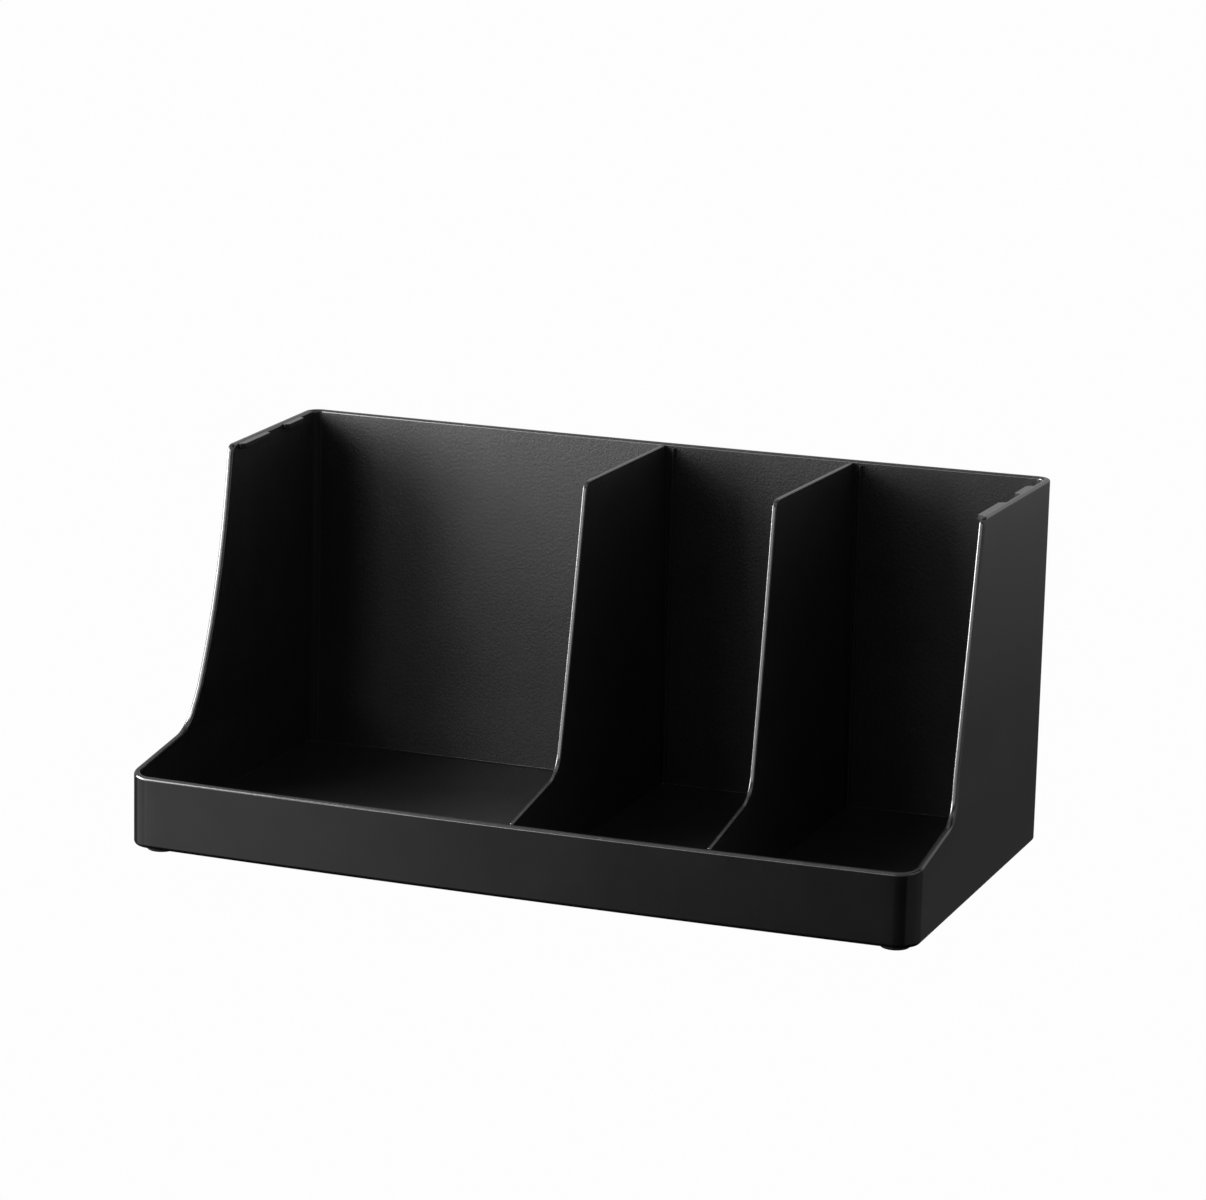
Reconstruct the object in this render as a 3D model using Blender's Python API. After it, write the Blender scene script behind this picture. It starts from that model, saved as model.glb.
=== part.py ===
"""Open-fronted countertop napkin dispenser: a moulded tray, two lift-out dividers and four feet.

Metres, +Z up. The origin is on the table, under the middle of the tray; +X is the right-hand
side and -Y is the open front that hands reach into.
"""

import math

import bmesh
import bpy
from mathutils import Vector

# Tray, outside
WIDTH = 0.350
DEPTH = 0.184
HEIGHT = 0.1605  # from the bottom edge of the moulding to its rim
LIP_HEIGHT = 0.031
FOOT_DROP = 0.0025  # how far the feet hold the bottom edge above the table
FRONT_RADIUS = 0.0095
BACK_RADIUS = 0.0070
BOTTOM_ROUND = 0.0020
RIM_ROUND = 0.0008

# Tray, inside
WALL = 0.0029
FLOOR_TOP = 0.0050  # inside floor above the bottom edge
FLOOR_THICKNESS = 0.0026
SKIRT = 0.0040  # width of the rim round the hollow underside

# Side outline, shared by the tray's side walls and the dividers
RUN_ANGLE = math.radians(9.7)  # low stretch behind the lip, above the horizontal
BEND_RADIUS = 0.0136
SWEEP_START = math.radians(74.0)  # heading of the tall edge where it leaves the bend
SWEEP_RADIUS = 2.500
BEND_CORNER_Y = -0.0385  # where the low stretch and the tall edge would cross
TOP_RADIUS = 0.0040

# Dividers
PANEL = 0.0019
PANEL_DROP = 0.0012  # top of a divider below the rim
PANEL_ROUND = 0.0004
PANEL_SLIT = 0.0054  # clear width between two guide ribs
CENTRE_SLOT_X = -0.0007
RIGHT_SLOT_X = 0.0859
RIB_WIDTH = 0.0012
RIB_PROUD = 0.0018
RIB_TOP_GAP = 0.0018  # rear ribs stop this far below the rim
LIP_RIB_GAP = 0.0020  # front ribs stop this far below the lip

# Stacking ledges along the top of each side wall: (start, end) in y
LEDGE_SPANS = ((-0.0010, 0.0305), (0.0505, 0.0708))
LEDGE_REACH = 0.0028
LEDGE_THICKNESS = 0.0022
LEDGE_CORNER = 0.0016

# Feet and the rings that hold them
FOOT_RADIUS = 0.00635
FOOT_INSET = 0.0112  # centre of a foot from the two nearest faces
FOOT_ROUND = 0.0011
RING_WALL = 0.0012
RING_RECESS = 0.0008  # ring stops this far above the bottom edge

GAP = 0.0003  # clearance between separate pieces
CUT = 0.02  # how far a cutter runs past what it cuts
JOIN = 0.0006  # how far a joined shape runs into the wall it joins
ARC_STEPS = 7
SWEEP_STEPS = 10
ROUND_STEPS = 32
BOTTOM_STEPS = 3
SOLE_STEPS = 4
SOFTEN_STEPS = 2
SOFTEN_ABOVE = math.radians(60)  # edges sharper than this are softened
SMOOTH_BELOW = math.radians(40)  # edges flatter than this are shaded smooth
TINY = 1e-6

# Finishes: (grey, roughness)
TRAY_FINISH = (0.012, 0.42)
DIVIDER_FINISH = (0.012, 0.38)
RUBBER_FINISH = (0.020, 0.75)


def clear_scene():
    for old in list(bpy.data.objects):
        bpy.data.objects.remove(old, do_unlink=True)


def finish(name, grey, roughness):
    """A neutral, non-metallic material."""
    material = bpy.data.materials.new(name)
    material.use_nodes = True
    shader = material.node_tree.nodes["Principled BSDF"]
    shader.inputs["Base Color"].default_value = (grey, grey, grey, 1.0)
    shader.inputs["Roughness"].default_value = roughness
    shader.inputs["Metallic"].default_value = 0.0
    return material


def object_from(name, form, material=None):
    """Turns a bmesh into a linked object with its normals facing out."""
    bmesh.ops.recalc_face_normals(form, faces=form.faces[:])
    mesh = bpy.data.meshes.new(name)
    form.to_mesh(mesh)
    form.free()
    made = bpy.data.objects.new(name, mesh)
    bpy.context.collection.objects.link(made)
    if material:
        mesh.materials.append(material)
    return made


def arc(centre, radius, start, end, steps):
    """Points along an arc, angles counted from the first axis; both ends are included."""
    turns = [start + (end - start) * i / steps for i in range(steps + 1)]
    return [(centre[0] + radius * math.cos(a), centre[1] + radius * math.sin(a)) for a in turns]


def walk(point, heading, radius, turn, steps):
    """Points along an arc that leaves point at heading and turns left, or right if turn < 0."""
    side = math.copysign(math.pi / 2, turn)
    centre = (
        point[0] + radius * math.cos(heading + side),
        point[1] + radius * math.sin(heading + side),
    )
    return arc(centre, radius, heading - side, heading - side + turn, steps)


def side_outline(top):
    """(y, z above the bottom edge) from the lip up the front edge to the top, at height top."""
    corner = (BEND_CORNER_Y, LIP_HEIGHT + (BEND_CORNER_Y + DEPTH / 2) * math.tan(RUN_ANGLE))
    turn = SWEEP_START - RUN_ANGLE
    back_off = BEND_RADIUS * math.tan(turn / 2)
    bend_start = (
        corner[0] - back_off * math.cos(RUN_ANGLE),
        corner[1] - back_off * math.sin(RUN_ANGLE),
    )
    bend = walk(bend_start, RUN_ANGLE, BEND_RADIUS, turn, ARC_STEPS)
    # The tall edge is a wide arc; it ends where the corner arc can finish level with the top.
    low = bend[-1]
    centre_z = low[1] + SWEEP_RADIUS * math.cos(SWEEP_START)
    heading = math.acos((centre_z + TOP_RADIUS - top) / (SWEEP_RADIUS + TOP_RADIUS))
    sweep_turn = heading - SWEEP_START
    sweep = walk(low, SWEEP_START, SWEEP_RADIUS, sweep_turn, SWEEP_STEPS)
    top_corner = walk(sweep[-1], heading, TOP_RADIUS, -heading, ARC_STEPS)
    return bend + sweep[1:] + top_corner[1:]


def upright_block(half_width, half_depth, low, high, front_radius, back_radius):
    """A box on end with rounded upright edges."""
    form = bmesh.new()
    bmesh.ops.create_cube(form, size=1.0)
    for vertex in form.verts:
        vertex.co.x *= 2 * half_width
        vertex.co.y *= 2 * half_depth
        vertex.co.z = high if vertex.co.z > 0 else low
    for radius, sign in ((front_radius, -1), (back_radius, 1)):
        edges = [
            edge
            for edge in form.edges
            if all(math.copysign(1, vertex.co.y) == sign for vertex in edge.verts)
            and abs(edge.verts[0].co.z - edge.verts[1].co.z) > TINY
        ]
        bmesh.ops.bevel(form, geom=edges, offset=radius, segments=ARC_STEPS, profile=0.5,
                        affect="EDGES")
    return form


def round_low_edge(form, radius):
    """Rounds the loop of edges round the bottom of a block."""
    low = min(vertex.co.z for vertex in form.verts)
    edges = [e for e in form.edges if all(abs(v.co.z - low) < TINY for v in e.verts)]
    bmesh.ops.bevel(form, geom=edges, offset=radius, segments=BOTTOM_STEPS, profile=0.5,
                    affect="EDGES")


def prism(outline, low, high, axis):
    """A closed prism whose outline lies across axis: 'x' takes (y, z), 'z' takes (x, y)."""
    form = bmesh.new()
    ends = []
    for level in (low, high):
        if axis == "x":
            ends.append([form.verts.new((level, a, b)) for a, b in outline])
        else:
            ends.append([form.verts.new((a, b, level)) for a, b in outline])
    form.faces.new(ends[0])
    form.faces.new(reversed(ends[1]))
    count = len(outline)
    for i in range(count):
        j = (i + 1) % count
        form.faces.new((ends[0][i], ends[1][i], ends[1][j], ends[0][j]))
    return form


def rectangle(x_low, x_high, y_low, y_high):
    return [(x_low, y_low), (x_high, y_low), (x_high, y_high), (x_low, y_high)]


def circle(centre, radius):
    return arc(centre, radius, 0, math.tau, ROUND_STEPS)[:-1]


def as_tool(tool):
    """Hides a cutter or a shape to be joined, so that it isn't a piece of its own."""
    tool.hide_render = True
    tool.display_type = "WIRE"
    return tool


def boolean(target, tool, operation):
    modifier = target.modifiers.new(tool.name, "BOOLEAN")
    modifier.operation = operation
    modifier.solver = "EXACT"
    modifier.object = as_tool(tool)


def soften(target, radius):
    """Rounds every sharp edge of target slightly."""
    modifier = target.modifiers.new("soften_edges", "BEVEL")
    modifier.width = radius
    modifier.segments = SOFTEN_STEPS
    modifier.limit_method = "ANGLE"
    modifier.angle_limit = SOFTEN_ABOVE


def foot_centres():
    """(name, x, y) of each foot."""
    for side, x_sign in (("left", -1), ("right", 1)):
        for end, y_sign in (("front", -1), ("rear", 1)):
            x = x_sign * (WIDTH / 2 - FOOT_INSET)
            y = y_sign * (DEPTH / 2 - FOOT_INSET)
            yield f"{end}_{side}", x, y


def hollow_tray(tray):
    """Cuts the inside and the swept front opening, then softens the edges those cuts leave."""
    inside = upright_block(WIDTH / 2 - WALL, DEPTH / 2 - WALL, FLOOR_TOP, HEIGHT + CUT,
                           FRONT_RADIUS - WALL, BACK_RADIUS - WALL)
    boolean(tray, object_from("cut_inside", inside), "DIFFERENCE")

    front = -DEPTH / 2 - CUT
    outline = [(front, LIP_HEIGHT), (-DEPTH / 2, LIP_HEIGHT)] + side_outline(HEIGHT)
    outline += [(outline[-1][0], HEIGHT + CUT), (front, HEIGHT + CUT)]
    reach = WIDTH / 2 + CUT
    boolean(tray, object_from("cut_front", prism(outline, -reach, reach, "x")), "DIFFERENCE")
    soften(tray, RIM_ROUND)


def hollow_underside(tray):
    """Leaves a skirt round the bottom and a ring for each foot."""
    under_radius = FRONT_RADIUS - SKIRT
    under = upright_block(WIDTH / 2 - SKIRT, DEPTH / 2 - SKIRT, -CUT,
                          FLOOR_TOP - FLOOR_THICKNESS, under_radius, under_radius)
    boolean(tray, object_from("cut_underside", under), "DIFFERENCE")
    ring_top = FLOOR_TOP - FLOOR_THICKNESS
    bore = FOOT_RADIUS + GAP
    for name, x, y in foot_centres():
        ring = prism(circle((x, y), bore + RING_WALL), RING_RECESS, ring_top + JOIN, "z")
        boolean(tray, object_from(f"ring_{name}", ring), "UNION")
    for name, x, y in foot_centres():
        socket = prism(circle((x, y), bore), -CUT, ring_top, "z")
        boolean(tray, object_from(f"cut_socket_{name}", socket), "DIFFERENCE")


def add_guides(tray):
    """Pairs of upright ribs on the back wall and behind the lip, one pair per divider end."""
    back = DEPTH / 2 - WALL
    lip = -back
    base = FLOOR_TOP - JOIN
    places = (
        ("rear", back - RIB_PROUD, back + JOIN, HEIGHT - RIB_TOP_GAP),
        ("lip", lip - JOIN, lip + RIB_PROUD, LIP_HEIGHT - LIP_RIB_GAP),
    )
    for slot, centre in (("centre", CENTRE_SLOT_X), ("right", RIGHT_SLOT_X)):
        for side in (-1, 1):
            near = centre + side * PANEL_SLIT / 2
            far = near + side * RIB_WIDTH
            for place, y_low, y_high, top in places:
                rib = prism(rectangle(min(near, far), max(near, far), y_low, y_high),
                            base, top, "z")
                label = f"rib_{slot}_{place}_{'left' if side < 0 else 'right'}"
                boolean(tray, object_from(label, rib), "UNION")


def add_ledges(tray):
    """Short ledges, level with the rim, that carry the base of a tray stacked on top."""
    inner = WIDTH / 2 - WALL
    top = HEIGHT - RIM_ROUND / 2
    for side, sign in (("left", -1), ("right", 1)):
        for index, (start, end) in enumerate(LEDGE_SPANS):
            tip = sign * (inner - LEDGE_REACH)
            root = sign * (inner + JOIN)
            outline = [
                (root, start),
                (tip + sign * LEDGE_CORNER, start),
                (tip, start + LEDGE_CORNER),
                (tip, end - LEDGE_CORNER),
                (tip + sign * LEDGE_CORNER, end),
                (root, end),
            ]
            ledge = prism(outline, top - LEDGE_THICKNESS, top, "z")
            boolean(tray, object_from(f"ledge_{side}_{index}", ledge), "UNION")


def make_tray():
    form = upright_block(WIDTH / 2, DEPTH / 2, 0, HEIGHT, FRONT_RADIUS, BACK_RADIUS)
    round_low_edge(form, BOTTOM_ROUND)
    tray = object_from("tray_body", form, finish("tray_plastic", *TRAY_FINISH))
    hollow_tray(tray)
    hollow_underside(tray)
    add_guides(tray)
    add_ledges(tray)
    return tray


def make_divider(name, slot_x):
    """A thin panel with the side outline, leaning in its slot as far as the ribs allow."""
    front = -DEPTH / 2 + WALL + GAP
    back = DEPTH / 2 - WALL - GAP
    top = HEIGHT - PANEL_DROP
    low = FLOOR_TOP + GAP
    front_top = LIP_HEIGHT + (front + DEPTH / 2) * math.tan(RUN_ANGLE)
    outline = [(front, low), (front, front_top)] + side_outline(top)
    outline += [(back, top), (back, low)]
    middle = (low + top) / 2
    outline = [(y, z - middle) for y, z in outline]
    panel = object_from(name, prism(outline, -PANEL / 2, PANEL / 2, "x"),
                        finish(f"{name}_plastic", *DIVIDER_FINISH))
    play = (PANEL_SLIT - PANEL) / 2 - GAP
    panel.rotation_euler.y = -math.atan(play / (middle - low))
    panel.location = Vector((slot_x, 0, middle))
    soften(panel, PANEL_ROUND)
    return panel


def make_foot(name, x, y):
    """A round rubber foot with a softened sole; its origin is the middle of that sole."""
    height = FOOT_DROP + FLOOR_TOP - FLOOR_THICKNESS - GAP
    middle = (FOOT_RADIUS - FOOT_ROUND, FOOT_ROUND)
    profile = [(FOOT_RADIUS, height)]
    profile += arc(middle, FOOT_ROUND, 0, -math.pi / 2, SOLE_STEPS)
    form = bmesh.new()
    rings = []
    for radius, z in profile:
        rings.append([form.verts.new((a, b, z)) for a, b in circle((0, 0), radius)])
    for upper, lower in zip(rings, rings[1:]):
        for i in range(ROUND_STEPS):
            j = (i + 1) % ROUND_STEPS
            form.faces.new((upper[i], upper[j], lower[j], lower[i]))
    form.faces.new(rings[0])
    form.faces.new(rings[-1])
    foot = object_from(name, form, finish(f"{name}_rubber", *RUBBER_FINISH))
    foot.data.shade_smooth()
    foot.data.set_sharp_from_angle(angle=SMOOTH_BELOW)
    foot.location = Vector((x, y, 0))
    return foot


def main():
    clear_scene()
    moulding = bpy.data.objects.new("moulding_level", None)
    moulding.location.z = FOOT_DROP
    bpy.context.collection.objects.link(moulding)
    make_tray()
    make_divider("centre_divider", CENTRE_SLOT_X)
    make_divider("right_divider", RIGHT_SLOT_X)
    for piece in list(bpy.context.collection.objects):
        if piece is not moulding:
            piece.parent = moulding
    for name, x, y in foot_centres():
        make_foot(f"foot_{name}", x, y)


main()
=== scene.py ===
"""Looks of the napkin dispenser: finely rounded mouldings, black grained plastic, a white studio."""

import math

import bmesh
import bpy
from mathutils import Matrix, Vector


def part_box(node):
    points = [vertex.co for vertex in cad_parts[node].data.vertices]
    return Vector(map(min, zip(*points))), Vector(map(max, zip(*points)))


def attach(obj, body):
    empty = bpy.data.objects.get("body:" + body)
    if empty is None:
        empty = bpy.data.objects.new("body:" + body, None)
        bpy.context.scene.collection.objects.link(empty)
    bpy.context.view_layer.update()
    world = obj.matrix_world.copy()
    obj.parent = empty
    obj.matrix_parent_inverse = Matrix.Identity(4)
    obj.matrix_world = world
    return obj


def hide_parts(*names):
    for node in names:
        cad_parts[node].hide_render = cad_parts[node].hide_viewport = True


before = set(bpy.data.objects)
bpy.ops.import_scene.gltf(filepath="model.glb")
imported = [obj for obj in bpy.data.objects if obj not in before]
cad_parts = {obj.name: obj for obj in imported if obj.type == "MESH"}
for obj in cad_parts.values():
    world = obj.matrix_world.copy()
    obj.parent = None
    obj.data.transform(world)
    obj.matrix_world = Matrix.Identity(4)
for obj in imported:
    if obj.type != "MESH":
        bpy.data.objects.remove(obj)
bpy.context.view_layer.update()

# Tray wall and floor, metres
WALL = 0.0029
FLOOR_TOP = 0.0050  # inside floor above the bottom edge
FLOOR_THICKNESS = 0.0026
SKIRT = 0.0040  # thickness of the rim round the hollow underside
FRONT_RADIUS = 0.0095
BACK_RADIUS = 0.0070
BOTTOM_ROUND = 0.0020
FLOOR_FILLET = 0.0006
LOW_STEPS = 8  # of both roundings above
LIP_HEIGHT = 0.0310

# Rounded edges of the tray
OUTER_ROUND = 0.0010  # outer edge of the rim
INNER_ROUND = 0.0012  # inner edge of the rim
RIM_STEPS = 6
RIM_ANGLE = math.radians(45)  # edges sharper than this are rounded
RIM_MARGIN = 0.0020  # an edge lower than this below the lip's top isn't the rim's
RIM_MERGE = 0.00006  # points this close together are leftovers of the cuts,
RIM_COLLAPSE = 0.00002  # and so are edges this short
SMALL_ROUND = 0.00025  # ledges and ribs
SMALL_ANGLE = math.radians(50)  # as RIM_ANGLE, for these

# Side outline
RUN_ANGLE = math.radians(9.7)
BEND_RADIUS = 0.0136
SWEEP_START = math.radians(74.0)
SWEEP_RADIUS = 2.500
BEND_CORNER_Y = -0.0385  # where the low stretch and the sweep would meet without the bend
TRAY_TOP_RADIUS = 0.0040
PANEL_TOP_RADIUS = 0.0042
BEND_STEPS = 16
SWEEP_STEPS = 20
TOP_STEPS = 12

# Dividers and their guides
PANEL = 0.0019  # thickness
PANEL_ROUND = 0.0005
PANEL_ROUND_STEPS = 4
PANEL_ANGLE = math.radians(60)  # edges sharper than this are rounded
PANEL_SLIT = 0.0054  # between a pair of ribs
RIB_WIDTH = 0.0012
RIB_PROUD = 0.0018  # how far a rib stands out of the wall
RIB_TOP_GAP = 0.0018
LIP_RIB_GAP = 0.0020

# Stacking ledges
LEDGE_SPANS = ((-0.0010, 0.0305), (0.0505, 0.0708))  # y, front and rear ledge
LEDGE_REACH = 0.0028
LEDGE_THICKNESS = 0.0022
LEDGE_CORNER = 0.0016
LEDGE_ANGLE = math.radians(30)  # low enough to round the edges of the cut corners as well
LEDGE_DROP = 0.0004  # below the rim

# Slight warp of the free side walls and of the dividers
LEAN_LEFT = 0.0052  # inward, at the top of the wall, level with the middle of the tray
LEAN_RIGHT = 0.0019
BOW_LEFT = 0.0026  # inward, halfway between LEAN_FROM and the top
BOW_RIGHT = 0.0
LEAN_FROM = 0.0310  # heights between which the lean sets in
LEAN_FULL = 0.0600
LEAN_NEAR = 0.008  # what is nearer than this to the outside of a side leans with it,
LEAN_FAR = 0.014  # and what is further in than this stays
WARP_STEP = 0.009  # from one slice to the next
WARP_MARGIN = 0.014  # from an end to the nearest slice
WARP_FRONT = -0.048  # y of the first slice across the side walls
SLICE_TOUCH = 0.00001  # a point this close to a slice counts as on it
SAG_FRONT = 0.0009  # how far the middle of the front and of the back hang below the corners
SAG_BACK = 0.0005
# (x at the foot, x at the front top, x at the rear top) of the middle plane of each divider
PANEL_PLANES = {
    "centre_divider": (0.0008, -0.0022, -0.0023),
    "right_divider": (0.0875, 0.0822, 0.0850),
}

# Feet
FOOT_RADIUS = 0.00635
FOOT_ROUND = 0.0011
RING_WALL = 0.0012
RING_RECESS = 0.0008
GAP = 0.0003  # round a foot in its ring
FOOT_STEPS = 6

# Building
CUT = 0.02  # how far a cutter reaches past what it cuts
JOIN = 0.0006  # how far a joined shape reaches into its neighbour
SMALLEST_RADIUS = 0.00001
SHARP_ANGLE = 40  # degrees between faces, from which an edge is shaded sharp
FOOT_SHARP_ANGLE = 50

# Where each material goes
OUTSIDE, EDGE, INSIDE, PAINTED_SHADE, FLOOR = range(5)  # order of the tray's materials
SIDE, UPPER_EDGE, LOWER_EDGE = range(3)  # order of a divider's materials
INSIDE_DEPTH = WALL * 0.9  # deeper than this is the inside of the tray
FLOOR_MARGIN = 0.0001  # a face this little below the top of the floor still belongs to it
PAINTED_SHADE_HEIGHT = 0.01  # above the floor; below it a divider's edges are darker and duller, a painted shade
SQUARE = 0.95  # a face is square to an axis if its normal has more than this along it

# Patterns in the plastic: features per metre, and ranges of a noise that runs from 0 to 1
SLOW_GLOSS_SCALE = 18.0
SLOW_GLOSS_RANGE = (0.3, 0.7)
FINE_GLOSS_SCALE = 900.0
FINE_GLOSS_RANGE = (0.25, 0.75)
TINT_SCALE = 60.0
TINT_RANGE = (0.3, 0.7)
TINT = (0.85, 1.15)  # times the plastic's grey
SCUFF_SCALE = 420.0
SCUFF_RANGE = (0.52, 0.70)

# Studio. What the object sees of the room, by direction, in degrees:
# azimuth low, high, softness; elevation low, high, softness; strength.
# Azimuth 0 is towards -Y, and it grows towards +X.
PAPER = 0.985  # the white that the camera sees
STUDIO_AREAS = (
    (-27, -23, 1, -30, -2, 1.5, 0.95),  # lit counter, front left
    (-36, -28, 1.5, -30, -2, 1.5, 1.25),
    (-90, -36, 3, -30, 0, 1.5, 0.65),
    (-36, -12, 2, 9, 30, 3, 3.7),  # bright window, reflected by every front edge
    (-10, 10, 2, 0, 50, 2, 0.36),  # room in front and to the right
    (10, 60, 3, 0, 50, 3, 0.35),
    (60, 120, 5, 0, 50, 3, 0.80),
    (50, 130, 3, -30, 0, 1.5, 0.15),
    (130, 180, 3, 0, 45, 2, 0.74),  # backdrop
    (-180, -120, 3, 0, 45, 2, 0.50),
    (-180, -90, 5, 45, 72, 3, 0.70),
    (130, 180, 3, -10, -3, 1, 0.48),  # counter behind, darker towards the object
    (130, 180, 3, -13, -10, 1, 0.14),
    (130, 180, 3, -16, -13, 1, 0.07),
    (130, 180, 3, -30, -16, 1, 0.09),
    (-180, -130, 3, -30, 0, 1.5, 0.17),
    (-90, 90, 5, 50, 72, 3, 1.10),  # ceiling
)

# Soft lamps at the front left: azimuth, elevation; width, height; strength
LAMPS = (
    (-22, 3, 0.12, 0.12, 31.5),
    (-40, 3, 0.20, 0.10, 17.8),
    (-48, 8, 0.30, 0.20, 24.1),
    (-48, 28, 0.30, 0.30, 44.3),
    (-60, 12, 0.25, 0.20, 61.2),
    (-75, 20, 0.40, 0.40, 111.7),
)
LAMP_DISTANCE = 0.8
LAMP_TARGET = Vector((0, 0, 0.09))

# White ground and camera
GROUND_SIZE = 6.0
GROUND_DROP = 0.0002  # below the soles
CAMERA_PLACE = (0.64049, -1.68492, 0.51398)
CAMERA_TURN = (77.3525, -1.3718, 20.9892)  # degrees about X, Y and Z
SENSOR_WIDTH = 36.0  # millimetres, as is the focal length
FOCAL_LENGTH = 129.50
NEAREST_SEEN = 0.05
FURTHEST_SEEN = 50

# Box of the tray
TRAY_LOW, TRAY_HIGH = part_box("tray_body")
WIDTH = TRAY_HIGH.x - TRAY_LOW.x
DEPTH = TRAY_HIGH.y - TRAY_LOW.y
BASE = TRAY_LOW.z
HEIGHT = TRAY_HIGH.z - TRAY_LOW.z


# ---------------------------------------------------------------- shapes

def new_object(name, form):
    bmesh.ops.recalc_face_normals(form, faces=form.faces[:])
    mesh = bpy.data.meshes.new(name)
    form.to_mesh(mesh)
    form.free()
    made = bpy.data.objects.new(name, mesh)
    bpy.context.scene.collection.objects.link(made)
    return made


def arc(centre, radius, start, end, steps):
    """Points on a circle from one angle to another, both included."""
    turns = [start + (end - start) * i / steps for i in range(steps + 1)]
    return [(centre[0] + radius * math.cos(a), centre[1] + radius * math.sin(a)) for a in turns]


def walk(point, heading, radius, turn, steps):
    """The arc that leaves a point in a direction and turns by an angle, left if positive."""
    side = math.copysign(math.pi / 2, turn)
    centre = (
        point[0] + radius * math.cos(heading + side),
        point[1] + radius * math.sin(heading + side),
    )
    return arc(centre, radius, heading - side, heading - side + turn, steps)


def side_outline(top, corner_radius):
    """(y, z) of the bend, the long sweep and the top corner of a side or a divider."""
    corner = (BEND_CORNER_Y, LIP_HEIGHT + (BEND_CORNER_Y + DEPTH / 2) * math.tan(RUN_ANGLE))
    turn = SWEEP_START - RUN_ANGLE
    back_off = BEND_RADIUS * math.tan(turn / 2)
    start = (
        corner[0] - back_off * math.cos(RUN_ANGLE),
        corner[1] - back_off * math.sin(RUN_ANGLE),
    )
    bend = walk(start, RUN_ANGLE, BEND_RADIUS, turn, BEND_STEPS)
    low = bend[-1]
    centre_z = low[1] + SWEEP_RADIUS * math.cos(SWEEP_START)
    heading = math.acos((centre_z + corner_radius - top) / (SWEEP_RADIUS + corner_radius))
    sweep = walk(low, SWEEP_START, SWEEP_RADIUS, heading - SWEEP_START, SWEEP_STEPS)
    last = walk(sweep[-1], heading, corner_radius, -heading, TOP_STEPS)
    return bend + sweep[1:] + last[1:]


def round_rectangle(half_width, half_depth, front_radius, back_radius, steps):
    """(x, y) loop, anticlockwise from the front right."""
    loop = []
    places = (
        (1, -1, front_radius, -math.pi / 2),
        (1, 1, back_radius, 0),
        (-1, 1, back_radius, math.pi / 2),
        (-1, -1, front_radius, math.pi),
    )
    for sx, sy, radius, start in places:
        centre = (sx * (half_width - radius), sy * (half_depth - radius))
        loop += arc(centre, radius, start, start + math.pi / 2, steps)
    return loop


def stack(loops):
    """A closed body from level loops of equal length: [(z, [(x, y), ...]), ...]."""
    form = bmesh.new()
    rings = [[form.verts.new((x, y, z)) for x, y in loop] for z, loop in loops]
    count = len(rings[0])
    for low, high in zip(rings, rings[1:]):
        for i in range(count):
            j = (i + 1) % count
            form.faces.new((low[i], low[j], high[j], high[i]))
    form.faces.new(rings[0])
    form.faces.new(rings[-1])
    return form


def block(half_width, half_depth, low, high, front_radius, back_radius, low_round=0, steps=12):
    """An upright block with rounded upright edges and, if asked, a rounded bottom edge."""
    levels = []
    rounds = LOW_STEPS if low_round else 0
    for i in range(rounds):
        a = math.pi / 2 * i / rounds
        inset = low_round * (1 - math.sin(a))
        levels.append((low + low_round * (1 - math.cos(a)), inset))
    levels += [(low + low_round, 0), (high, 0)]
    loops = []
    for z, inset in levels:
        front = max(front_radius - inset, SMALLEST_RADIUS)
        back = max(back_radius - inset, SMALLEST_RADIUS)
        loop = round_rectangle(half_width - inset, half_depth - inset, front, back, steps)
        loops.append((z, loop))
    return stack(loops)


def prism(outline, low, high, axis):
    """A closed body from an outline, (y, z) along the x axis or (x, y) along the z axis."""
    form = bmesh.new()
    ends = []
    for level in (low, high):
        if axis == "x":
            ends.append([form.verts.new((level, a, b)) for a, b in outline])
        else:
            ends.append([form.verts.new((a, b, level)) for a, b in outline])
    form.faces.new(ends[0])
    form.faces.new(reversed(ends[1]))
    for i in range(len(outline)):
        j = (i + 1) % len(outline)
        form.faces.new((ends[0][i], ends[1][i], ends[1][j], ends[0][j]))
    return form


def rectangle(x_low, x_high, y_low, y_high):
    return [(x_low, y_low), (x_high, y_low), (x_high, y_high), (x_low, y_high)]


def circle(centre, radius, steps=48):
    return arc(centre, radius, 0, math.tau, steps)[:-1]


def settle(target):
    """Replaces an object's mesh by what its modifiers make of it."""
    bpy.context.view_layer.update()
    graph = bpy.context.evaluated_depsgraph_get()
    mesh = bpy.data.meshes.new_from_object(target.evaluated_get(graph))
    target.modifiers.clear()
    target.data = mesh


def combine(target, tools, operation):
    """Cuts the tools from the target or joins them to it, and removes them."""
    for tool in tools:
        modifier = target.modifiers.new(tool.name, "BOOLEAN")
        modifier.operation = operation
        modifier.solver = "EXACT"
        modifier.object = tool
    settle(target)
    for tool in tools:
        bpy.data.objects.remove(tool, do_unlink=True)


def sharp_edges(form, least):
    """The edges whose faces turn by more than an angle."""
    found = []
    for edge in form.edges:
        if len(edge.link_faces) == 2 and edge.calc_face_angle(0) > least:
            found.append(edge)
    return found


def soften(target, radius, steps=3, least=SMALL_ANGLE):
    form = bmesh.new()
    form.from_mesh(target.data)
    bmesh.ops.bevel(form, geom=sharp_edges(form, least), offset=radius, segments=steps,
                    profile=0.5, affect="EDGES", clamp_overlap=True)
    form.to_mesh(target.data)
    form.free()


def wall_depth(x, y):
    """Distance inwards from the outside of the tray, seen from above."""
    radius = FRONT_RADIUS if y < 0 else BACK_RADIUS
    dx = abs(x) - (WIDTH / 2 - radius)
    dy = abs(y) - (DEPTH / 2 - radius)
    if dx > 0 and dy > 0:
        return radius - math.hypot(dx, dy)
    return radius - max(dx, dy)


# ---------------------------------------------------------------- tray

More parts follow.
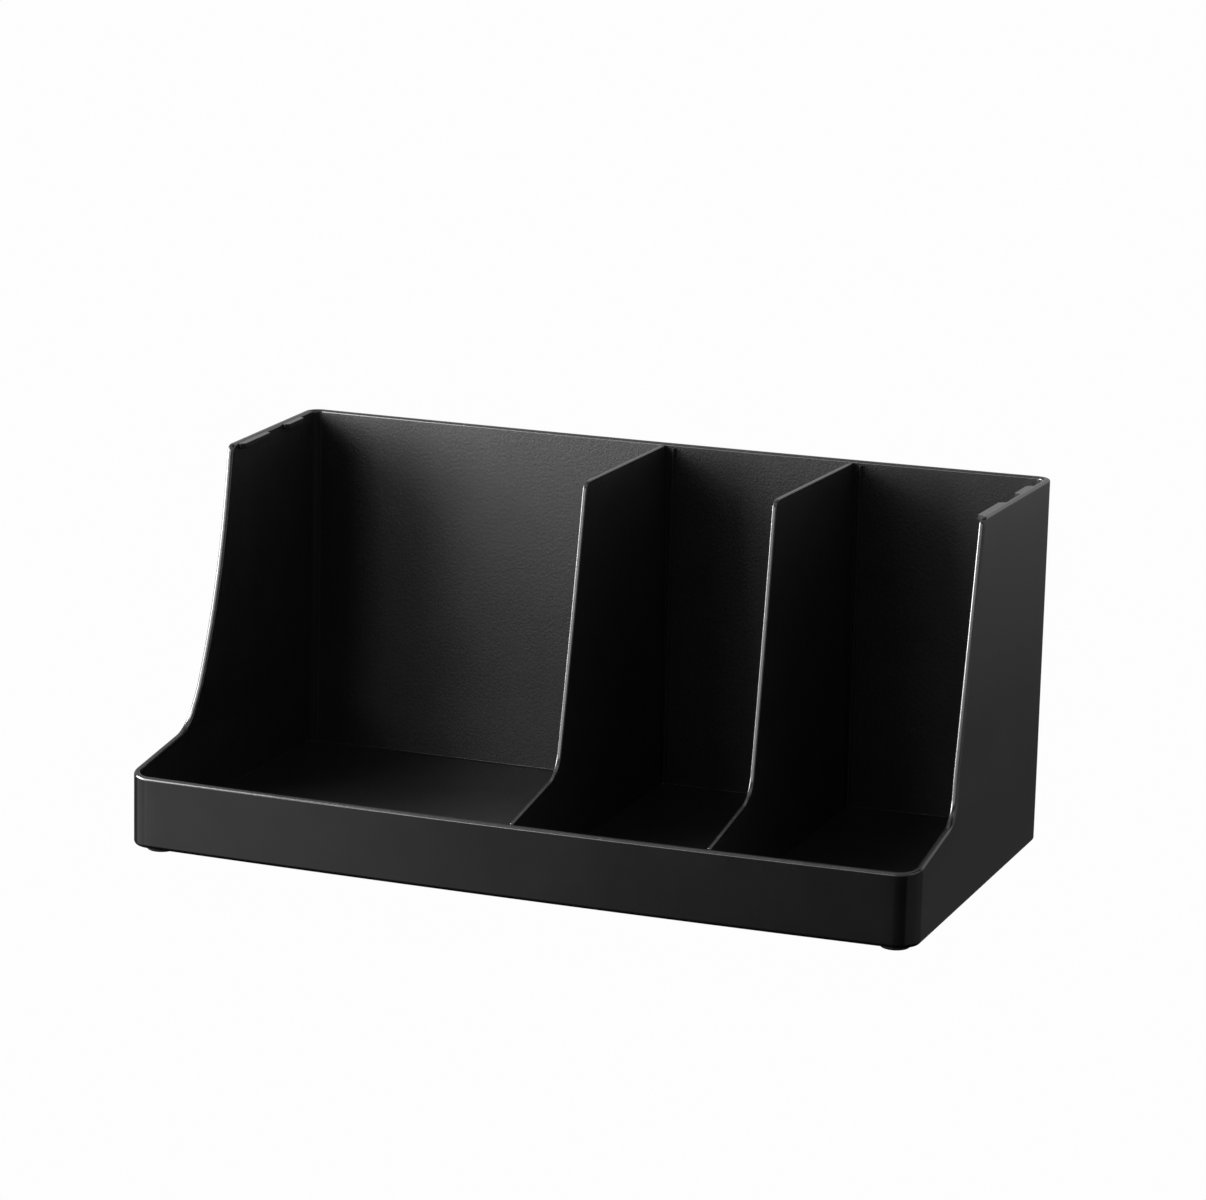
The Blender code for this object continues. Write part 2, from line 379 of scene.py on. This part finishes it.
def round_rim(tray):
    """Rounds the rim, with its own radius on the outer edge and on the inner edge."""
    form = bmesh.new()
    form.from_mesh(tray.data)
    bmesh.ops.remove_doubles(form, verts=form.verts[:], dist=RIM_MERGE)
    bmesh.ops.dissolve_degenerate(form, edges=form.edges[:], dist=RIM_COLLAPSE)
    weight = form.edges.layers.float.new("bevel_weight_edge")
    for edge in sharp_edges(form, RIM_ANGLE):
        middle = (edge.verts[0].co + edge.verts[1].co) / 2
        if middle.z < BASE + LIP_HEIGHT - RIM_MARGIN:
            continue
        outer = wall_depth(middle.x, middle.y) < WALL / 2
        edge[weight] = OUTER_ROUND / INNER_ROUND if outer else 1.0
    form.to_mesh(tray.data)
    form.free()
    bevel = tray.modifiers.new("rim", "BEVEL")
    bevel.limit_method = "WEIGHT"
    bevel.width = INNER_ROUND
    bevel.segments = RIM_STEPS
    bevel.use_clamp_overlap = False
    # The rounds take the edge plastic: lighter and more reflective, partly wear and partly a painted
    # highlight.
    bevel.material = EDGE
    settle(tray)


def foot_centres():
    """Name, x and y of each foot."""
    for side in ("left", "right"):
        for end in ("front", "rear"):
            low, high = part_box(f"foot_{end}_{side}")
            yield f"{end}_{side}", (low.x + high.x) / 2, (low.y + high.y) / 2


def guide_ribs():
    """Two pairs of ribs for each divider, on the back wall and behind the lip."""
    back = DEPTH / 2 - WALL
    places = (
        (back - RIB_PROUD, back + JOIN, HEIGHT - RIB_TOP_GAP),
        (-back - JOIN, -back + RIB_PROUD, LIP_HEIGHT - LIP_RIB_GAP),
    )
    for name in PANEL_PLANES:
        low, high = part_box(name)
        centre = (low.x + high.x) / 2
        for side in (-1, 1):
            near = centre + side * PANEL_SLIT / 2
            far = near + side * RIB_WIDTH
            for y_low, y_high, top in places:
                shape = rectangle(min(near, far), max(near, far), y_low, y_high)
                rib = new_object("rib", prism(shape, BASE + FLOOR_TOP - JOIN, BASE + top, "z"))
                soften(rib, SMALL_ROUND)
                yield rib


def ledges():
    """Stacking ledges at the top of both sides, with cut corners."""
    inner = WIDTH / 2 - WALL
    top = BASE + HEIGHT - LEDGE_DROP
    for sign in (-1, 1):
        for start, end in LEDGE_SPANS:
            tip = sign * (inner - LEDGE_REACH)
            root = sign * (inner + JOIN)
            corner = sign * LEDGE_CORNER
            outline = [
                (root, start),
                (tip + corner, start),
                (tip, start + LEDGE_CORNER),
                (tip, end - LEDGE_CORNER),
                (tip + corner, end),
                (root, end),
            ]
            ledge = new_object("ledge", prism(outline, top - LEDGE_THICKNESS, top, "z"))
            soften(ledge, SMALL_ROUND, least=LEDGE_ANGLE)
            yield ledge


def slice_form(form, low, high, axis):
    """Cuts every face along evenly spaced planes across an axis, so that it can bend."""
    normal = Vector([1.0 if i == axis else 0.0 for i in range(3)])
    count = round((high - low) / WARP_STEP)
    for i in range(count + 1):
        place = normal * (low + (high - low) * i / count)
        geometry = form.verts[:] + form.edges[:] + form.faces[:]
        bmesh.ops.bisect_plane(form, geom=geometry, plane_co=place, plane_no=normal,
                               dist=SLICE_TOUCH)


def smooth_step(value, low, high):
    """Rises smoothly from 0 at low to 1 at high."""
    t = min(max((value - low) / (high - low), 0.0), 1.0)
    return t * t * (3 - 2 * t)


def floor_sag(x, y):
    """How far the floor, the front and the back hang at a point, seen from above."""
    sag = SAG_FRONT + (SAG_BACK - SAG_FRONT) * (y + DEPTH / 2) / DEPTH
    return sag * (1 - (x / (WIDTH / 2)) ** 2)


def wall_lean(x, y, z):
    """How far a point of a side wall leans inwards."""
    lean, bow = (LEAN_LEFT, BOW_LEFT) if x < 0 else (LEAN_RIGHT, BOW_RIGHT)
    forward = (DEPTH / 2 - y) / (DEPTH / 2)
    up = z - BASE
    share = min(max((up - LEAN_FROM) / (HEIGHT - LEAN_FROM), 0.0), 1.0)
    near = smooth_step(abs(x), WIDTH / 2 - LEAN_FAR, WIDTH / 2 - LEAN_NEAR)
    total = lean * up / HEIGHT * forward * smooth_step(up, LEAN_FROM, LEAN_FULL)
    total += bow * math.sin(math.pi * share) * min(forward, 1.0)
    return near * total


def warp_walls(tray):
    """Leans and bows the side walls and lets the floor, the front and the back sag."""
    form = bmesh.new()
    form.from_mesh(tray.data)
    slice_form(form, BASE + LEAN_FROM, BASE + HEIGHT - WARP_MARGIN, 2)
    slice_form(form, WARP_FRONT, DEPTH / 2 - WARP_MARGIN, 1)
    slice_form(form, WARP_MARGIN - WIDTH / 2, WIDTH / 2 - WARP_MARGIN, 0)
    for vertex in form.verts:
        x, y, z = vertex.co
        vertex.co.x -= math.copysign(wall_lean(x, y, z), x)
        vertex.co.z -= floor_sag(x, y)
    form.to_mesh(tray.data)
    form.free()


def choose_materials(tray):
    """Sets each face's material while the walls are still upright."""
    for face in tray.data.polygons:
        x, y, z = face.center
        inside = wall_depth(x, y) > INSIDE_DEPTH and z > BASE + FLOOR_TOP - FLOOR_MARGIN
        if face.material_index == EDGE or not inside:
            continue
        level = abs(face.normal.z) > SQUARE
        # Level faces high inside (the ledges, the tops of the back ribs) take the lighter edge
        # plastic, a painted highlight.
        if level and z > BASE + HEIGHT / 2:
            face.material_index = EDGE
        elif level:
            face.material_index = FLOOR
        # Inside faces square to no axis (the rounded inside corners, the floor's fillet) take the
        # darker, duller plastic, which paints shade into them.
        elif abs(face.normal.x) < SQUARE and abs(face.normal.y) < SQUARE:
            face.material_index = PAINTED_SHADE
        else:
            face.material_index = INSIDE


def hollow(tray):
    """Cuts the inside and the open front."""
    inside = block(WIDTH / 2 - WALL, DEPTH / 2 - WALL, BASE + FLOOR_TOP, BASE + HEIGHT + CUT,
                   FRONT_RADIUS - WALL, BACK_RADIUS - WALL, FLOOR_FILLET)
    combine(tray, [new_object("inside", inside)], "DIFFERENCE")
    front = -DEPTH / 2 - CUT
    outline = [(front, LIP_HEIGHT), (-DEPTH / 2, LIP_HEIGHT)]
    outline += side_outline(HEIGHT, TRAY_TOP_RADIUS)
    outline += [(outline[-1][0], HEIGHT + CUT), (front, HEIGHT + CUT)]
    outline = [(y, BASE + z) for y, z in outline]
    reach = WIDTH / 2 + CUT
    combine(tray, [new_object("front", prism(outline, -reach, reach, "x"))], "DIFFERENCE")


def shape_underside(tray):
    """Cuts the space under the floor, and leaves a ring there for each foot."""
    radius = FRONT_RADIUS - SKIRT
    roof = BASE + FLOOR_TOP - FLOOR_THICKNESS
    under = block(WIDTH / 2 - SKIRT, DEPTH / 2 - SKIRT, BASE - CUT, roof, radius, radius)
    combine(tray, [new_object("under", under)], "DIFFERENCE")
    bore = FOOT_RADIUS + GAP
    rings, sockets = [], []
    for _, x, y in foot_centres():
        ring = prism(circle((x, y), bore + RING_WALL), BASE + RING_RECESS, roof + JOIN, "z")
        socket = prism(circle((x, y), bore), BASE - CUT, roof, "z")
        rings.append(new_object("ring", ring))
        sockets.append(new_object("socket", socket))
    combine(tray, rings, "UNION")
    combine(tray, sockets, "DIFFERENCE")


def make_tray(materials):
    outer = block(WIDTH / 2, DEPTH / 2, BASE, BASE + HEIGHT, FRONT_RADIUS, BACK_RADIUS,
                  BOTTOM_ROUND)
    tray = new_object("tray_moulding", outer)
    for material in materials:
        tray.data.materials.append(material)
    hollow(tray)
    round_rim(tray)
    shape_underside(tray)
    combine(tray, list(guide_ribs()) + list(ledges()), "UNION")
    choose_materials(tray)
    warp_walls(tray)
    return tray


# ---------------------------------------------------------------- dividers and feet

def warp_panel(panel, node):
    """Leans and twists a flat divider, and lets its foot follow the floor."""
    low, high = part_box(node)
    middle = (low.z + high.z) / 2
    form = bmesh.new()
    form.from_mesh(panel.data)
    slice_form(form, low.z - middle + WARP_MARGIN, high.z - middle - WARP_MARGIN, 2)
    slice_form(form, low.y + WARP_MARGIN, high.y - WARP_MARGIN, 1)
    foot_x, front_x, rear_x = PANEL_PLANES[node]
    for vertex in form.verts:
        rear = min(max(vertex.co.y / (DEPTH / 2), 0.0), 1.0)
        up = (vertex.co.z + middle - low.z) / (high.z - low.z)
        top_x = front_x + (rear_x - front_x) * rear
        vertex.co.x += foot_x + (top_x - foot_x) * up
        vertex.co.z += middle - floor_sag(foot_x, vertex.co.y) * (1 - up)
    form.to_mesh(panel.data)
    form.free()


def make_panel(node, materials):
    """A flat divider, made level with the origin and then warped into its place."""
    low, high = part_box(node)
    rise = LIP_HEIGHT + (low.y + DEPTH / 2) * math.tan(RUN_ANGLE)
    outline = [(low.y, low.z - BASE), (low.y, rise)]
    outline += side_outline(high.z - BASE, PANEL_TOP_RADIUS)
    outline += [(high.y, high.z - BASE), (high.y, low.z - BASE)]
    middle = (low.z + high.z) / 2
    outline = [(y, z + BASE - middle) for y, z in outline]
    panel = new_object(node.replace("divider", "panel"), prism(outline, -PANEL / 2, PANEL / 2, "x"))
    soften(panel, PANEL_ROUND, PANEL_ROUND_STEPS, PANEL_ANGLE)
    warp_panel(panel, node)
    for material in materials:
        panel.data.materials.append(material)
    for face in panel.data.polygons:
        # Edges high on a divider take the lighter edge plastic, a painted highlight; those near the
        # floor take the darker, duller plastic, a painted shade.
        if abs(face.normal.x) < SQUARE:
            upper = face.center.z > BASE + FLOOR_TOP + PAINTED_SHADE_HEIGHT
            face.material_index = UPPER_EDGE if upper else LOWER_EDGE
    return panel


def make_foot(name, x, y):
    """A round rubber pad with a rounded sole."""
    low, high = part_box(f"foot_{name}")
    profile = arc((FOOT_RADIUS - FOOT_ROUND, low.z + FOOT_ROUND), FOOT_ROUND, -math.pi / 2, 0,
                  FOOT_STEPS)
    loops = [(z, circle((x, y), radius)) for radius, z in profile]
    loops.append((high.z, circle((x, y), FOOT_RADIUS)))
    return new_object(f"pad_{name}", stack(loops))


def shade(target, angle):
    """Shades smooth up to an angle, in degrees, with the flat faces kept flat."""
    target.data.shade_smooth()
    target.data.set_sharp_from_angle(angle=math.radians(angle))
    weighted = target.modifiers.new("normals", "WEIGHTED_NORMAL")
    weighted.keep_sharp = True
    weighted.weight = 100


def install(piece, body, node, angle=SHARP_ANGLE):
    """Puts a finished piece on its body, in the place of its CAD node."""
    shade(piece, angle)
    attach(piece, body)
    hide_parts(node)


# ---------------------------------------------------------------- materials

def link(tree, source, socket):
    tree.links.new(source, socket)


def maths(tree, operation, first, second=None):
    """The result of a calculation with one or two numbers or sockets."""
    made = tree.nodes.new("ShaderNodeMath")
    made.operation = operation
    for socket, value in zip(made.inputs, (first, second)):
        if isinstance(value, (int, float)):
            socket.default_value = value
        elif value is not None:
            link(tree, value, socket)
    return made.outputs[0]


def noise(tree, place, scale, detail, roughness=0.5):
    made = tree.nodes.new("ShaderNodeTexNoise")
    made.inputs["Scale"].default_value = scale
    made.inputs["Detail"].default_value = detail
    made.inputs["Roughness"].default_value = roughness
    link(tree, place, made.inputs["Vector"])
    return made.outputs["Fac"]


def spread(tree, value, source, target):
    """Stretches one range of a value to another range."""
    made = tree.nodes.new("ShaderNodeMapRange")
    link(tree, value, made.inputs["Value"])
    made.inputs["From Min"].default_value, made.inputs["From Max"].default_value = source
    made.inputs["To Min"].default_value, made.inputs["To Max"].default_value = target
    return made.outputs["Result"]


def plastic(name, grey, rough, grain, depth, patch=0.06, wear_and_highlight=0.0, index=1.50):
    """Plastic or rubber: moulded grain, slow and fine changes of gloss, and lighter scuffs, which
    are wear and, on the edges, partly a painted highlight.

    grain is its scale and depth its height in metres, patch is how far the roughness varies,
    wear_and_highlight is how much lighter the scuffs are (wear, and on the edges partly a painted
    highlight), and index is the index of refraction.
    """
    material = bpy.data.materials.new(name)
    material.use_nodes = True
    tree = material.node_tree
    shader = tree.nodes["Principled BSDF"]
    shader.inputs["IOR"].default_value = index
    place = tree.nodes.new("ShaderNodeTexCoord").outputs["Object"]

    slow = noise(tree, place, SLOW_GLOSS_SCALE, detail=3.0)
    slow = spread(tree, slow, SLOW_GLOSS_RANGE, (rough - patch / 2, rough + patch / 2))
    fine = noise(tree, place, FINE_GLOSS_SCALE, detail=1.0)
    fine = spread(tree, fine, FINE_GLOSS_RANGE, (-patch / 2, patch / 2))
    link(tree, maths(tree, "ADD", slow, fine), shader.inputs["Roughness"])

    tint = spread(tree, noise(tree, place, TINT_SCALE, detail=4.0), TINT_RANGE, TINT)
    level = maths(tree, "MULTIPLY", tint, grey)
    if wear_and_highlight:
        scuff = noise(tree, place, SCUFF_SCALE, detail=4.0, roughness=0.65)
        scuff = spread(tree, scuff, SCUFF_RANGE, (0.0, wear_and_highlight))
        level = maths(tree, "ADD", level, scuff)
    colour = tree.nodes.new("ShaderNodeCombineColor")
    for channel in ("Red", "Green", "Blue"):
        link(tree, level, colour.inputs[channel])
    link(tree, colour.outputs[0], shader.inputs["Base Color"])

    bump = tree.nodes.new("ShaderNodeBump")
    bump.inputs["Strength"].default_value = 1.0
    bump.inputs["Distance"].default_value = depth
    height = noise(tree, place, grain, detail=2.0, roughness=0.6)
    link(tree, height, bump.inputs["Height"])
    link(tree, bump.outputs[0], shader.inputs["Normal"])
    return material


# ---------------------------------------------------------------- build

outside = plastic("tray_outside", grey=0.0050, rough=0.20, grain=2600, depth=0.000004, patch=0.04)
# Rims, rounds and high level faces: a lighter, more reflective copy of the outside plastic with
# lighter scuffs, partly wear and partly a painted highlight.
edge = plastic("edge_wear_and_painted_highlight", grey=0.0060, rough=0.20, grain=2600, depth=0.000003, wear_and_highlight=0.015,
               index=1.62)
inside = plastic("tray_inside", grey=0.0085, rough=0.40, grain=800, depth=0.000090)
# Inside corners and the low edges of the dividers: a darker, duller, less reflective copy of the
# plastic, a painted shade.
painted_shade_plastic = plastic("painted_shade_plastic", grey=0.0070, rough=0.60, grain=1900, depth=0.000016, index=1.25)
floor = plastic("tray_floor", grey=0.0085, rough=0.45, grain=1900, depth=0.000016, index=1.35)
side = plastic("panel", grey=0.0085, rough=0.38, grain=2200, depth=0.000006, wear_and_highlight=0.004)
rubber = plastic("foot_rubber", grey=0.0100, rough=0.72, grain=1500, depth=0.000020)

tray = make_tray((outside, edge, inside, painted_shade_plastic, floor))
install(tray, "tray", "tray_body")

for name in PANEL_PLANES:
    panel = make_panel(name, (side, edge, painted_shade_plastic))
    install(panel, name.replace("divider", "panel"), name)

for name, x, y in foot_centres():
    foot = make_foot(name, x, y)
    foot.data.materials.append(rubber)
    install(foot, "tray", f"foot_{name}", FOOT_SHARP_ANGLE)


# ---------------------------------------------------------------- studio

def studio_world():
    """White to the camera; to the object, a dim room with soft lit areas."""
    world = bpy.data.worlds.new("studio")
    bpy.context.scene.world = world
    world.use_nodes = True
    tree = world.node_tree
    tree.nodes.clear()
    way = tree.nodes.new("ShaderNodeTexCoord").outputs["Generated"]
    parts = tree.nodes.new("ShaderNodeSeparateXYZ")
    link(tree, way, parts.inputs[0])

    forward = maths(tree, "MULTIPLY", parts.outputs["Y"], -1.0)
    turn = maths(tree, "ARCTAN2", parts.outputs["X"], forward)
    azimuth = maths(tree, "MULTIPLY", turn, math.degrees(1))
    rise = maths(tree, "ARCSINE", parts.outputs["Z"])
    elevation = maths(tree, "MULTIPLY", rise, math.degrees(1))

    def step(value, low, high):
        """Rises smoothly from 0 at low to 1 at high, or falls where low is above high."""
        made = tree.nodes.new("ShaderNodeMapRange")
        made.interpolation_type = "SMOOTHSTEP"
        link(tree, value, made.inputs["Value"])
        made.inputs["From Min"].default_value = low
        made.inputs["From Max"].default_value = high
        return made.outputs["Result"]

    def band(value, low, high, soft):
        """1 between low and high, 0 elsewhere, with soft edges."""
        return maths(tree, "MULTIPLY", step(value, low - soft, low + soft),
                     step(value, high + soft, high - soft))

    total = 0.0
    for az_low, az_high, az_soft, el_low, el_high, el_soft, strength in STUDIO_AREAS:
        sides = band(azimuth, az_low, az_high, az_soft)
        heights = band(elevation, el_low, el_high, el_soft)
        light = maths(tree, "MULTIPLY", maths(tree, "MULTIPLY", sides, heights), strength)
        total = maths(tree, "ADD", total, light)
    camera_ray = tree.nodes.new("ShaderNodeLightPath").outputs["Is Camera Ray"]
    seen = maths(tree, "MULTIPLY", camera_ray, PAPER)
    unseen = maths(tree, "MULTIPLY", maths(tree, "SUBTRACT", 1.0, camera_ray), total)
    background = tree.nodes.new("ShaderNodeBackground")
    background.inputs["Color"].default_value = (1, 1, 1, 1)
    link(tree, maths(tree, "ADD", seen, unseen), background.inputs["Strength"])
    out = tree.nodes.new("ShaderNodeOutputWorld")
    link(tree, background.outputs[0], out.inputs[0])


def make_lamps():
    """Lamps round the target, each facing it and hidden from the camera."""
    for azimuth, elevation, width, height, strength in LAMPS:
        turn, rise = math.radians(azimuth), math.radians(elevation)
        way = Vector((math.sin(turn) * math.cos(rise), -math.cos(turn) * math.cos(rise),
                      math.sin(rise)))
        light = bpy.data.lights.new("lamp", "AREA")
        light.shape = "RECTANGLE"
        light.size = width
        light.size_y = height
        light.normalize = False
        light.energy = strength
        lamp = bpy.data.objects.new("lamp", light)
        bpy.context.scene.collection.objects.link(lamp)
        lamp.location = LAMP_TARGET + way * LAMP_DISTANCE
        lamp.rotation_euler = (-way).to_track_quat("-Z", "Y").to_euler()
        lamp.visible_camera = False


def make_ground():
    """Pale ground that only the camera sees, so it neither lights nor mirrors the object."""
    form = bmesh.new()
    bmesh.ops.create_grid(form, x_segments=1, y_segments=1, size=GROUND_SIZE)
    ground = new_object("floor", form)
    ground.location.z = -GROUND_DROP
    material = bpy.data.materials.new("paper")
    material.use_nodes = True
    tree = material.node_tree
    tree.nodes.clear()
    lit = tree.nodes.new("ShaderNodeEmission")
    lit.inputs["Strength"].default_value = PAPER
    out = tree.nodes.new("ShaderNodeOutputMaterial")
    link(tree, lit.outputs[0], out.inputs[0])
    ground.data.materials.append(material)
    ground.visible_glossy = False
    ground.visible_diffuse = False
    ground.visible_shadow = False


def make_camera():
    camera = bpy.data.objects.new("camera", bpy.data.cameras.new("camera"))
    bpy.context.scene.collection.objects.link(camera)
    camera.location = CAMERA_PLACE
    camera.rotation_euler = [math.radians(angle) for angle in CAMERA_TURN]
    camera.data.sensor_width = SENSOR_WIDTH
    camera.data.lens = FOCAL_LENGTH
    camera.data.clip_start = NEAREST_SEEN
    camera.data.clip_end = FURTHEST_SEEN
    bpy.context.scene.camera = camera


studio_world()
make_lamps()
make_ground()
make_camera()
bpy.context.scene.view_settings.view_transform = "Standard"
bpy.context.scene.view_settings.look = "None"
